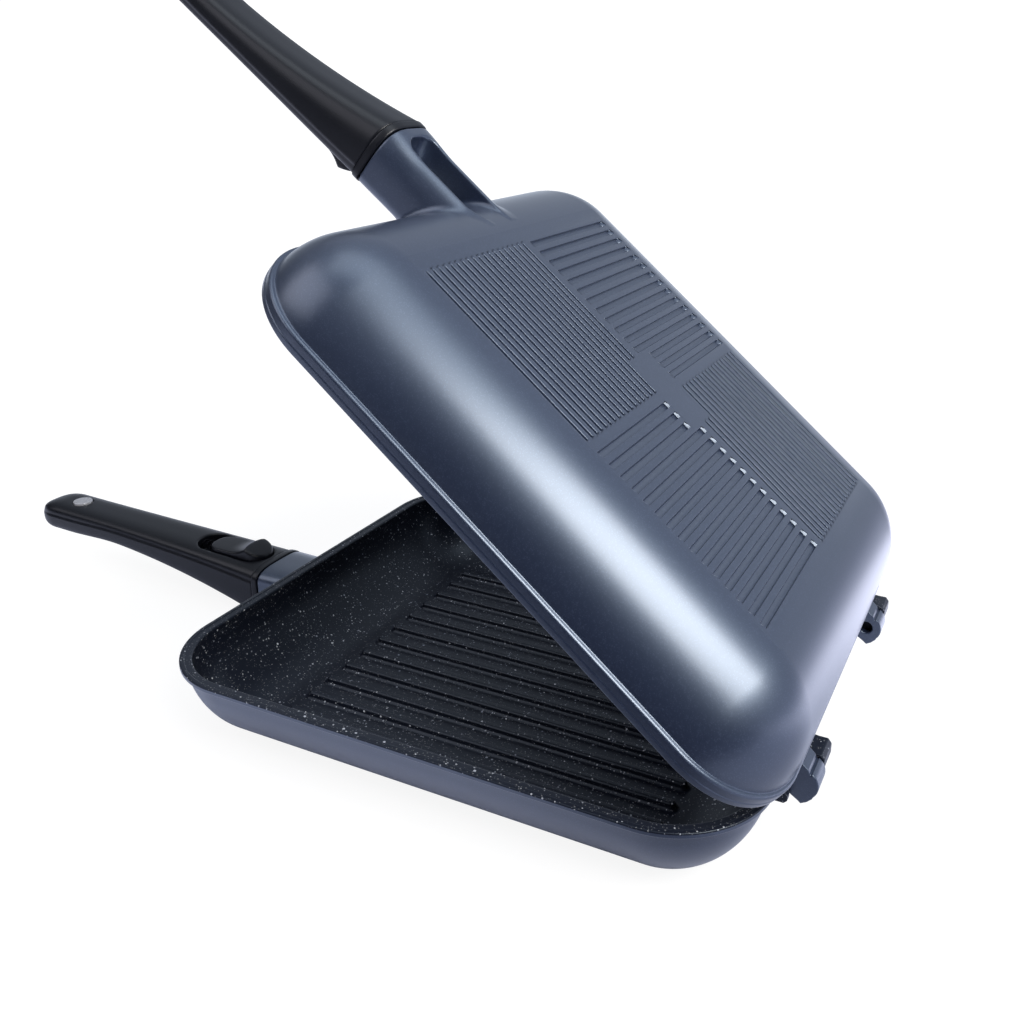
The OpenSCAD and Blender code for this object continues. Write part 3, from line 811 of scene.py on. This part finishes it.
def core_distance(x, y):
    return quadrant(np.abs(x) - CORE_X, np.abs(y) - CORE_Y)


def half_solid(lid):
    """The distance to a half, taken as solid."""
    top = -RIM_GAP if lid else 0.0
    meet, centre = shoulder(lid)

    def shape(x, y, z):
        u = core_distance(x, y)
        turn = np.arctan2(u - centre, ROUND_Z - z)
        leaning = (u - meet) * math.cos(LEAN) - (z - MEET_Z) * math.sin(LEAN)
        rounded = np.hypot(u - centre, z - ROUND_Z) - ROUND
        body = np.where(turn < 0, -HALF_HEIGHT - z, np.where(turn < math.pi / 2 - LEAN, rounded, leaning))
        edge = u - CORNER
        if lid:
            edge = edge + np.where(z < RIM_STEP_Z, RIM_STEP, 0.0)
        rim = np.maximum(edge, (-LID_RIM if lid else -LOWER_RIM) - z)
        return np.maximum(np.minimum(body, rim), z - top)
    return shape


# Sections of the grips, sockets and collars: how square each side is, and the grip's rounded end
OUTER_POWER, INNER_POWER = 3.5, 3.2
CAP_LENGTH, CAP_POWER = 15.0, 2.3


def section(y, z, w, z1, mid, z0, along=None):
    """About the distance to a section: half width w at the height mid, from z0 outside to z1 inside."""
    inner = z > mid
    h = np.where(inner, z1 - mid, mid - z0)
    n = np.where(inner, INNER_POWER, OUTER_POWER)
    a, b = np.abs(y) / w, np.abs(z - mid) / h
    rho = (a ** n + b ** n) ** (1 / n)
    length = np.hypot(y, z - mid)
    if along is not None:
        rho = (rho ** CAP_POWER + along ** CAP_POWER) ** (1 / CAP_POWER)
        length = np.hypot(length, along * CAP_LENGTH)
    return length * (1 - 1 / np.maximum(rho, 1e-6))


SOCKET_HALF, SOCKET_IN, SOCKET_MID, SOCKET_OUT, SOCKET_END = 17.4, -6.7, -14.1, -36.9, -100.0
# The neck that grows out of the wall: its length, how much narrower and how much shallower it gets
NECK_LENGTH, NECK_NARROWER, NECK_SHALLOWER = 20.0, 0.6, 1.3
# The open pocket in the socket's outer side, and the opening that the tongue goes through
POCKET_HALF, POCKET_SIDE, POCKET_TOP, POCKET_START = 8.8, 1.2, -9.7, -146.0
POCKET_SLOPE, POCKET_HALF_LENGTH, POCKET_ROUND = 3.8, 40.0, 6.5
GATE_HALF, GATE_Z, GATE_RISE, GATE_END = 7.3, -15.6, 3.1, -141.0


def smooth(t):
    c = np.clip(t, 0, 1)
    return c * c * (3 - 2 * c)


def socket_shape(lid):
    shell = half_solid(lid)
    side = POCKET_SIDE if lid else 0.0

    def shape(x, y, z):
        neck = smooth((x - SOCKET_X) / NECK_LENGTH)
        prism = section(y, z, SOCKET_HALF - NECK_NARROWER * neck, SOCKET_IN, SOCKET_MID,
                        SOCKET_OUT + NECK_SHALLOWER * neck)
        prism = np.maximum(blend_common(prism, SOCKET_X - x, 0.9), x - SOCKET_END)
        middle = POCKET_START + POCKET_HALF_LENGTH - POCKET_SLOPE * smooth((-18.0 - z) / 17.0)
        plan = rounded_rect(x - middle, y - side, POCKET_HALF_LENGTH, POCKET_HALF, POCKET_ROUND)
        prism = blend_cut(prism, blend_common(plan, z - POCKET_TOP, 1.5), 1.1)
        gate = np.maximum(np.abs(y) - GATE_HALF, np.abs(z - GATE_Z) - GATE_RISE)
        prism = blend_cut(prism, np.maximum(gate, x - GATE_END), 0.4)
        return blend_union(shell(x, y, z), prism, 3.2)
    return shape, shell


def build_socket(prefix, place):
    shape, shell = socket_shape(prefix == "lid")
    points, faces = skin(shape, (-156, -24, -40), (-88, 24, -1.2), 0.55, keep=shell)
    make_piece(prefix + "_socket", points, faces, PAINT, prefix + "_half", place)


# Hinge knuckles round the axis: the eye, the strap that ties it to the rim and the heel that stops it
EYE, EYE_GAP = 5.5, 0.12
LOWER_STRAP = [(0, -5.5), (-9.9, -7.0), (-9.9, 2.8), (-5.64, 2.8), (-3, 5.2), (0, 5.4)]
LOWER_HEEL = [(0, 0), (6.0, 0), (6.0, 3.6), (4.6, 5.4), (0, 5.4)]
LID_STRAP = [(-9.0, 3.7), (-4.4, 3.7), (-5.5, 0), (0, 0), (0, 5.5), (-2, 6.4), (-9.0, 6.7)]
LID_HEEL = [(0, 0), (0, -6.0), (6.0, -6.0), (6.9, -3.6), (6.9, -1.2), (5.2, 0)]
# The lid's eye is fuller on its outer side: how far off the axis, and by how much
FULL_X, FULL_Z, FULLER = 0.55, 0.1, 0.75


def knuckle_shape(lid, start, width, bore_middle, bore_half, bore):
    """A knuckle on its half. The lid's is drawn with the lid shut, above the parting plane."""
    solid = half_solid(lid)

    def shell(x, y, z):
        return solid(x, -y, -z) if lid else solid(x, y, z)

    def shape(x, y, z):
        a, b = x - HINGE_X, z - HINGE_Z
        eye = np.hypot(a, b)
        flat = np.minimum(eye - EYE, polygon(a, b, LID_STRAP if lid else LOWER_STRAP))
        if lid:
            full = np.maximum(np.hypot(a - FULL_X, b - FULL_Z) - EYE - FULLER, -a)
            flat = blend_union(np.minimum(flat, full), polygon(a, b, LID_HEEL), 1.2)
            side = y - start - width - EYE_GAP
        else:
            flat = np.minimum(flat, polygon(a, b, LOWER_HEEL))
            side = start - EYE_GAP - y
        plate = slab(flat, y - start - width / 2, width / 2, 0.4 if lid else 0.45)
        hole = np.maximum(eye - bore, np.abs(y - bore_middle) - bore_half)
        return np.maximum(blend_union(shell(x, y, z), blend_cut(plate, hole, 0.5), 1.3), side)
    return shape, shell


def build_knuckle(name, lid, start, width, *hole):
    """hole is the bore's middle along y, half its length, and its radius."""
    shape, shell = knuckle_shape(lid, start, width, *hole)
    points, faces = skin(shape, (122.5, start - 2.5, -14), (HINGE_X + 8, start + width + 2.5, 10), 0.32,
                         keep=shell)
    material, body, place = (PAINT, "lid_half", IN_LID) if lid else (COATING, "lower_half", IN_LOWER)
    make_piece(name, points, faces, material, body, place)


# The stop beside a knuckle, seen along y from its foot on the rim
NUB = [(0, 0), (5.8, 0), (7, -1.2), (7, -3.4), (5.8, -4.6), (0, -4.6)]
NUB_X, NUB_Z, NUB_HALF = 125.8, -5.6, 1.8


def build_nub(name, start):
    shell = half_solid(False)

    def shape(x, y, z):
        plate = slab(polygon(x - NUB_X, z - NUB_Z, NUB), y - start - NUB_HALF, NUB_HALF, 0.4)
        return blend_union(shell(x, y, z), plate, 1.0)
    points, faces = skin(shape, (122.5, start - 2.5, -13.5), (134, start + 6.1, -2.6), 0.3, keep=shell)
    make_piece(name, points, faces, COATING, "lower_half", IN_LOWER)


def build_shell(prefix, place):
    lid, body = prefix == "lid", prefix + "_half"
    path = outside_path(lid)
    made = Build()
    made.add(swept(path), band(len(path), RING))
    flat = flat_outside()
    points = flat.all_points()
    points[:, 2] += lift(points[:, 0], points[:, 1], lid) - HALF_HEIGHT
    made.add(points, flat.faces)
    make_piece(prefix + "_outside", made.all_points(), made.faces, PAINT, body, place,
               (prefix + "_pan",))
    path = inside_path(lid)
    points = np.vstack([swept(path), [0, 0, FLOOR_Z]])
    centre = len(points) - 1
    faces = band(len(path), RING) + fan(centre - RING, RING, centre)
    make_piece(prefix + "_inside", points, faces, COATING, body, place)


RIB_COUNT, RIB_PITCH, RIB_LENGTH = 12, 13.2, 178.0


def build_ribs():
    points, ring = stadium_rings(RIB_LENGTH / 2 - 2.6, RIB_PROFILE, 10)
    faces = band(len(RIB_PROFILE), ring, flip=True) + [list(range(ring))]
    first = -(RIB_COUNT - 1) / 2 * RIB_PITCH
    mesh = grown(ROW, plain_mesh(points, faces), Count=RIB_COUNT,
                 First=(0, first * MM, FLOOR_Z * MM), Step=(0, RIB_PITCH * MM, 0),
                 Opposite_row=False, Material=COATING)
    keep_piece("lower_floor_ribs", mesh, COATING, "lower_half", IN_LOWER)


# ---------------------------------------------------------------- grips

# Lines of a grip: the value at its far end, what is added at the pan and fades away, over which share
# of the length, and how fast
TOP_LINE = (-0.4, -6.3, 1.05, 1.2)
THICK_LINE = (13.4, 16.8, 0.8, 2.0)
HALF_LINE = (13.2, 4.2, 0.7, 1.5)
# The end grows thicker again from this share of the length on
SWELL, SWELL_FROM, SWELL_OVER = 2.2, 0.6, 0.25
RECESS_FLOOR = -11.9
SEAT_RADIUS, SEAT_FLOOR = 5.2, -4.4


def grip_line(x, line):
    end, more, share, power = line
    return end + more * np.maximum(0, 1 - (GRIP_X - x) / GRIP_LENGTH / share) ** power


def grip_shape(x, y, z):
    """An oval that narrows and turns up to a round end, with the button's recess and the magnet's seat."""
    cap = GRIP_END + CAP_LENGTH
    xs = np.clip(x, cap, GRIP_X)
    along = (GRIP_X - xs) / GRIP_LENGTH
    top = grip_line(xs, TOP_LINE)
    thick = grip_line(xs, THICK_LINE) + SWELL * smooth((along - SWELL_FROM) / SWELL_OVER)
    mid = top - thick * (0.25 + 0.17 * smooth(along / 0.8))
    # The inner side is a little narrower, which leaves a line along the grip
    half = grip_line(xs, HALF_LINE) - 0.7 * smooth((z - mid) / 1.6)
    body = section(y, z, half, top, mid, top - thick, np.maximum(0, (cap - x) / CAP_LENGTH))
    body = blend_common(body, x - GRIP_X, 1.0)
    recess = rounded_rect(x - RECESS_X - RECESS_LENGTH / 2, y, RECESS_LENGTH / 2, RECESS_WIDTH / 2,
                          RECESS_WIDTH / 2)
    body = blend_cut(body, np.maximum(recess, RECESS_FLOOR - z), 1.0)
    seat = np.maximum(np.hypot(x - MAGNET_X, y) - SEAT_RADIUS, SEAT_FLOOR - z)
    return blend_cut(body, seat, 0.5)


# The button's top: its flat pad, where the hollow starts, and the thumb's ridge
PAD_Z, HOLLOW_X, RIDGE_X, RIDGE_HALF = -4.3, -184.0, -171.6, 8.8
RIDGE_RISE, BACK_DROP, BACK_LENGTH = 3.8, 5.6, 10.5
BUTTON_FOOT = -11.5


def button_shape(x, y, z):
    """A flat pad towards the grip's end, then a hollow rising to the thumb's ridge and a slope behind it."""
    middle = BUTTON_X + BUTTON_LENGTH / 2
    plan = rounded_rect(x - middle, y, BUTTON_LENGTH / 2, RECESS_WIDTH / 2 - 0.7, RECESS_WIDTH / 2 - 1.6)
    bow = 2.2 * (y / RIDGE_HALF) ** 2
    rise = np.clip((x - bow - HOLLOW_X) / (RIDGE_X - HOLLOW_X), 0, 1)
    fall = np.clip((x - RIDGE_X - 1.0) / BACK_LENGTH, 0, 1)
    height = PAD_Z + RIDGE_RISE * rise ** 2.3 - BACK_DROP * fall ** 1.25
    height = height - 0.8 * np.abs(y / RIDGE_HALF) ** 3 * (0.3 + smooth(rise))
    body = blend_common(plan + 0.06 * (z + 11.6), z - height, 1.2)
    return blend_common(body, BUTTON_FOOT - z, 0.4)


def collar_shape(x, y, z):
    ring = section(y, z, SOCKET_HALF + 0.35, SOCKET_IN + 0.35, SOCKET_MID, SOCKET_OUT - 0.35)
    return slab(ring, x - (COLLAR_X + GRIP_X) / 2, (COLLAR_X - GRIP_X) / 2, 0.55)


def lathe(x, profile, steps=40):
    """A turned piece, upright at x, from (radius, height) pairs, first and last on the axis."""
    inner = profile[1:-1]
    turns = [2 * math.pi * k / steps for k in range(steps)]
    points = [(0, 0, profile[0][1])]
    points += [(r * math.cos(a), r * math.sin(a), z) for r, z in inner for a in turns]
    points.append((0, 0, profile[-1][1]))
    faces = [[0, 1 + (k + 1) % steps, 1 + k] for k in range(steps)]
    faces += [[1 + i for i in quad] for quad in band(len(inner), steps)]
    last, end = 1 + (len(inner) - 1) * steps, len(points) - 1
    faces += fan(last, steps, end)
    return np.array(points) + [x, 0, 0], faces


GRIP_SKIN = skin(grip_shape, (GRIP_END - 1.2, -19, -39), (GRIP_X + 1.2, 19, 1.2), 0.65)
BUTTON_SKIN = skin(button_shape, (-199, -10.5, -13), (-159, 10.5, 1), 0.45)
COLLAR_SKIN = skin(collar_shape, (GRIP_X - 1, -19, -39), (COLLAR_X + 1, 19, -5), 0.5)
MAGNET_LATHE = lathe(MAGNET_X, [(0, -4.2), (4.8, -4.2), (5.0, -3.9), (5.05, -0.75), (4.95, -0.5),
                                (4.7, -0.36), (4.4, -0.3), (0, -0.3)])


# The button's spring, in turns and millimetres
SPRING_TURNS, SPRING_RADIUS, SPRING_LENGTH, SPRING_WIRE, SPRING_Z = 8.0, 2.2, 23.4, 0.3, -8.1


def build_handle(prefix, place):
    handle, release = prefix + "_handle", prefix + "_release"
    for name, (points, faces), material, body, slot, stands_for in (
            ("_grip_body", GRIP_SKIN, PHENOLIC, handle, "grip", "_grip"),
            ("_collar_ring", COLLAR_SKIN, PHENOLIC, handle, "grip", "_collar"),
            ("_release_button", BUTTON_SKIN, PHENOLIC, release, "button", "_button"),
            ("_magnet_disc", MAGNET_LATHE, MAGNET, handle, "magnet", "_magnet")):
        make_piece(prefix + name, points, faces, material, body, place, (prefix + stands_for,))
    # The spring is near-black as painted shade, so the recess it sits in reads as dark
    mesh = grown(SPRING, plain_mesh([(0, 0, 0)], []), Turns=SPRING_TURNS,
                 Radius=SPRING_RADIUS * MM, Length=SPRING_LENGTH * MM, Wire=SPRING_WIRE * MM,
                 Place=((RECESS_X + 0.6) * MM, 0, SPRING_Z * MM), Material=STEEL_DARKENED_AS_SHADE)
    keep_piece(prefix + "_return_spring", mesh, STEEL_DARKENED_AS_SHADE, handle, place,
               (prefix + "_button_spring",))


HALVES = (("lower", IN_LOWER), ("lid", IN_LID @ TURNED))

for half in HALVES:
    build_shell(*half)
build_ribs()
for half in HALVES:
    build_socket(*half)
build_knuckle("lower_near_knuckle", False, -53.0, 12.0, -53.0 + 4.9, 5.1, 2.85)
build_knuckle("lower_far_knuckle", False, 69.2, 12.0, 69.2 + 4.9, 5.1, 2.82)
build_nub("lower_near_nub", -68.8)
build_nub("lower_far_nub", 82.2)
build_knuckle("lid_near_knuckle", True, -64.6, 11.2, -64.6 + 7.0, 5.0, 2.82)
build_knuckle("lid_far_knuckle", True, 57.6, 11.2, 57.6 + 5.6, 7.0, 2.85)
for half in HALVES:
    build_handle(*half)

# The hinge pins take the near-black steel as painted shade, so the bores look dark; the other imported parts
# stay plain steel
for name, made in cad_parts.items():
    if not made.hide_render:
        made.data.materials.clear()
        made.data.materials.append(STEEL_DARKENED_AS_SHADE if name.endswith("hinge_pin") else STEEL)

# ---------------------------------------------------------------- studio

# Soft boxes: name, place, what it is aimed at, width and height, watts, tint
SOFT_BOXES = [
    ("key_box", (0.87, -0.38, 0.95), (0.09, -0.09, 0.08), (0.88, 0.58), 19.0, (1.0, 0.985, 0.96)),
    ("left_box", (-0.80, -0.75, 1.10), (-0.05, -0.05, 0.05), (1.2, 0.9), 5.6, (0.90, 0.90, 1.0)),
    ("top_box", (-0.02, -0.08, 1.45), (-0.02, -0.04, 0.05), (1.1, 0.7), 3.6, (0.84, 0.92, 1.0)),
]
# Strength of the room's light behind the pan, ahead of it and in the low sweep; and of the lit floor
ROOM_BEHIND, ROOM_AHEAD, SWEEP, SWEEP_FLOOR = 0.50, 0.02, 1.3, 2.4
ROOM_TINT = (0.78, 0.86, 1.0, 1)
SWEEP_TINT = (0.80, 0.82, 1.0, 1)
WHITE = (1, 1, 1, 1)
# The floor: its glow to the eye, its plain shade, and the shades that light the pan from ahead
SEEN_GLOW = 1.12
PLAIN_FLOOR, DARK_FLOOR, PALE_FLOOR = (0.8, 0.8, 0.8, 1), (0.03, 0.03, 0.04, 1), (0.62, 0.65, 0.80, 1)
FLOOR_REACH = 6.0


def split(tree, value):
    """The x, y and z of a vector."""
    made = tree.nodes.new("ShaderNodeSeparateXYZ")
    tree.links.new(value, made.inputs[0])
    return made.outputs


def floor_material():
    """White to the eye away from the pan; in the paint, bright close behind it and dark ahead of it."""
    made = bpy.data.materials.new("white_floor")
    made.use_nodes = True
    tree = made.node_tree
    link = tree.links.new

    rays = tree.nodes.new("ShaderNodeLightPath").outputs
    seen, mirrored = rays["Is Camera Ray"], rays["Is Glossy Ray"]
    place = tree.nodes.new("ShaderNodeTexCoord").outputs["Object"]
    x, y, _ = split(tree, place)
    away = tree.nodes.new("ShaderNodeVectorMath")
    away.operation = "LENGTH"
    link(place, away.inputs[0])

    # Which share of the floor glows: for the eye, and for what the paint mirrors
    to_eye = times(tree, ramp(tree, away.outputs["Value"], 0.22, 0.45), 0.2, 0.8)
    back = times(tree, x, 0.5, y)
    behind = times(tree, ramp(tree, back, 0.10, 0.28), times(tree, ramp(tree, back, 0.32, 0.50), -0.92, 1.0))
    left = times(tree, ramp(tree, times(tree, x, -1.0), 0.24, 0.48), 0.22)
    in_paint = times(tree, mirrored, larger(tree, behind, left))
    share = larger(tree, times(tree, seen, to_eye), in_paint)

    # The shade of the rest
    right = times(tree, ramp(tree, x, 0.115, 0.17), ramp(tree, y, -0.27, -0.20))
    ahead = ramp(tree, times(tree, x, -0.8, y), -0.29, -0.12)
    shade = mix_colour(tree, larger(tree, ahead, times(tree, right, 0.6)), DARK_FLOOR, PALE_FLOOR)

    shader = tree.nodes["Principled BSDF"]
    shader.inputs["Roughness"].default_value = 0.9
    shader.inputs["Specular IOR Level"].default_value = 0.0
    link(mix_colour(tree, seen, shade, PLAIN_FLOOR), shader.inputs["Base Color"])
    glow = tree.nodes.new("ShaderNodeEmission")
    link(mix_colour(tree, seen, SWEEP_TINT, WHITE), glow.inputs["Color"])
    link(times(tree, seen, SEEN_GLOW - SWEEP_FLOOR, SWEEP_FLOOR), glow.inputs["Strength"])
    mix = tree.nodes.new("ShaderNodeMixShader")
    for i, part in enumerate((share, shader.outputs[0], glow.outputs[0])):
        link(part, mix.inputs[i])
    link(mix.outputs[0], tree.nodes["Material Output"].inputs[0])
    return made


def build_room():
    """The room round the pan: white to the eye, and dim and bluish in the paint, with a low band behind."""
    world = bpy.data.worlds.new("studio")
    bpy.context.scene.world = world
    world.use_nodes = True
    tree = world.node_tree
    back = tree.nodes["Background"]
    rays = tree.nodes.new("ShaderNodeLightPath").outputs
    seen = larger(tree, rays["Is Camera Ray"], rays["Is Transmission Ray"])
    tree.links.new(mix_colour(tree, seen, ROOM_TINT, WHITE), back.inputs["Color"])
    x, y, z = split(tree, tree.nodes.new("ShaderNodeTexCoord").outputs["Generated"])
    height = times(tree, x, 0.5, times(tree, z, 0.5, y))
    room = times(tree, ramp(tree, height, -0.4, 0.9), ROOM_BEHIND - ROOM_AHEAD, ROOM_AHEAD)
    low = times(tree, ramp(tree, z, 0.04, 0.30), -1.0, 1.0)
    low = times(tree, low, ramp(tree, times(tree, x, -0.5, y), 0.70, 0.98))
    room = times(tree, low, SWEEP - ROOM_BEHIND, room)
    tree.links.new(larger(tree, seen, room), back.inputs["Strength"])


def studio():
    bpy.context.scene.view_settings.view_transform = "Standard"
    ground = bpy.data.meshes.new("floor")
    corners = [(x * FLOOR_REACH, y * FLOOR_REACH, 0) for x, y in ((-1, -1), (1, -1), (1, 1), (-1, 1))]
    ground.from_pydata(corners, [], [(0, 1, 2, 3)])
    ground.materials.append(floor_material())
    floor = put_in_scene("floor", ground)
    build_room()
    for label, where, aim, size, power, tint in SOFT_BOXES:
        lamp = bpy.data.lights.new(label, "AREA")
        lamp.shape = "RECTANGLE"
        lamp.size, lamp.size_y = size
        lamp.energy = power
        lamp.color = tint
        made = put_in_scene(label, lamp)
        made.location = where
        made.rotation_euler = (Vector(aim) - Vector(where)).to_track_quat("-Z", "Y").to_euler()


# The camera of the photo: the picture's side, focal length and lens centre in pixels
PICTURE_SIDE, FOCAL_LENGTH, CENTRE_X, CENTRE_Y = 1024.0, 1049.4, 584.76, 406.36
SENSOR = 36.0
CAMERA_PLACE = (0.1976, -0.3832, 0.2751)
CAMERA_ROUND, CAMERA_UP, CAMERA_ROLL = math.radians(24.87), math.radians(17.75), math.radians(0.67)


def camera():
    lens = bpy.data.cameras.new("camera")
    lens.sensor_width = SENSOR
    lens.lens = FOCAL_LENGTH * SENSOR / PICTURE_SIDE
    lens.shift_x = (PICTURE_SIDE / 2 - CENTRE_X) / PICTURE_SIDE
    lens.shift_y = (CENTRE_Y - PICTURE_SIDE / 2) / PICTURE_SIDE
    made = put_in_scene("camera", lens)
    flat = math.cos(CAMERA_UP)
    back = Vector((math.sin(CAMERA_ROUND) * flat, -math.cos(CAMERA_ROUND) * flat, math.sin(CAMERA_UP)))
    forward = -back
    right = forward.cross(Vector((0, 0, 1))).normalized()
    down = forward.cross(right)
    c, s = math.cos(CAMERA_ROLL), math.sin(CAMERA_ROLL)
    right, down = c * right - s * down, s * right + c * down
    turn = Matrix((right, -down, back)).transposed().to_4x4()
    made.matrix_world = Matrix.Translation(CAMERA_PLACE) @ turn
    bpy.context.scene.camera = made


studio()
camera()
